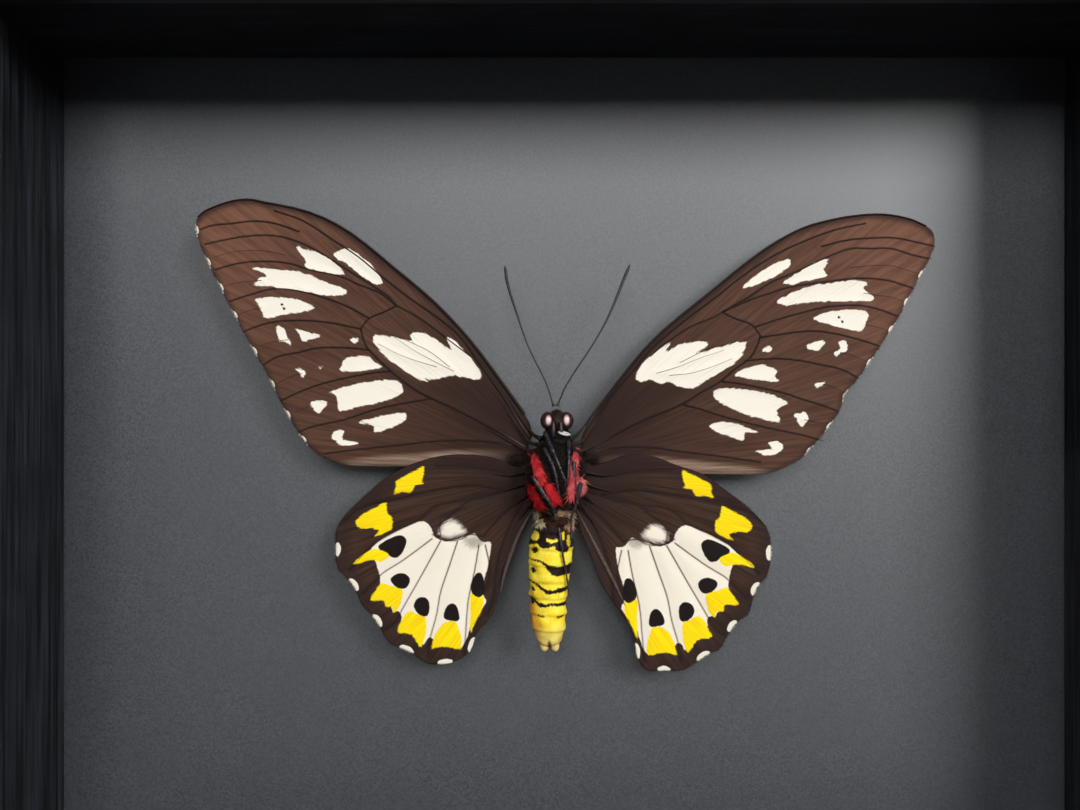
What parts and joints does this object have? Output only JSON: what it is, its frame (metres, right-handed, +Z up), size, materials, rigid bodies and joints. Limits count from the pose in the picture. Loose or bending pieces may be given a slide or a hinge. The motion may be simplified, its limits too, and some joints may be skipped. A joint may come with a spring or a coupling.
{
  "type": "framed butterfly specimen",
  "caption": "Dry spread birdwing butterfly, underside to the viewer, on charcoal card in a deep black glazed shadow box that stands or hangs.",
  "frame": {"origin": "middle of the box's footprint, on the surface that the bottom rail stands on", "axes": "+Z up, +X to the viewer's right along the width, +Y from the glass towards the back"},
  "size_m": [0.2726, 0.0518, 0.2218],
  "materials": {
    "rail_wood": "black satin paint over open grain",
    "clear_glass": "polished",
    "spacer_wood": "black stain, grain showing",
    "charcoal_card": "matt, fine fibre",
    "hardboard": "raw brown hardboard",
    "tab_steel": "bare sheet steel",
    "zinc_steel": "zinc plated",
    "bumper_rubber": "soft matt",
    "support_foam": "black closed-cell foam",
    "forewing": "brown wing scales with cream-white marks",
    "hindwing": "brown, cream and yellow wing scales",
    "thorax_down": "black down with red tufts",
    "abdomen_scales": "yellow scales with black bands",
    "head_cuticle": "dark, short hair",
    "eye_shell": "glossy, dark brown",
    "leg_cuticle": "satin black"
  },
  "bodies": {
    "root": {"rail_top": "rail_wood", "rail_bottom": "rail_wood", "rail_left": "rail_wood", "rail_right": "rail_wood", "glass": "clear_glass", "spacer_top": "spacer_wood", "spacer_bottom": "spacer_wood", "spacer_left": "spacer_wood", "spacer_right": "spacer_wood", "mount_card": "charcoal_card", "back_panel": "hardboard", "retaining_tab_1": "tab_steel", "retaining_tab_2": "tab_steel", "retaining_tab_3": "tab_steel", "retaining_tab_4": "tab_steel", "retaining_tab_5": "tab_steel", "retaining_tab_6": "tab_steel", "retaining_tab_7": "tab_steel", "retaining_tab_8": "tab_steel", "sawtooth_hanger": "zinc_steel", "hanger_nail_left": "zinc_steel", "hanger_nail_right": "zinc_steel", "bumper_left": "bumper_rubber", "bumper_right": "bumper_rubber", "support_block": "support_foam", "forewing_left": "forewing", "forewing_right": "forewing", "hindwing_left": "hindwing", "hindwing_right": "hindwing", "thorax": "thorax_down", "abdomen": "abdomen_scales", "head": "head_cuticle", "palp_left": "head_cuticle", "palp_right": "head_cuticle", "proboscis": "head_cuticle", "eye_left": "eye_shell", "eye_right": "eye_shell", "leg_fore_left": "leg_cuticle", "leg_fore_right": "leg_cuticle", "leg_mid_left": "leg_cuticle", "leg_mid_right": "leg_cuticle", "leg_hind_left": "leg_cuticle", "leg_hind_right": "leg_cuticle", "antenna_left": "leg_cuticle", "antenna_right": "leg_cuticle"}
  },
  "joints": []
}
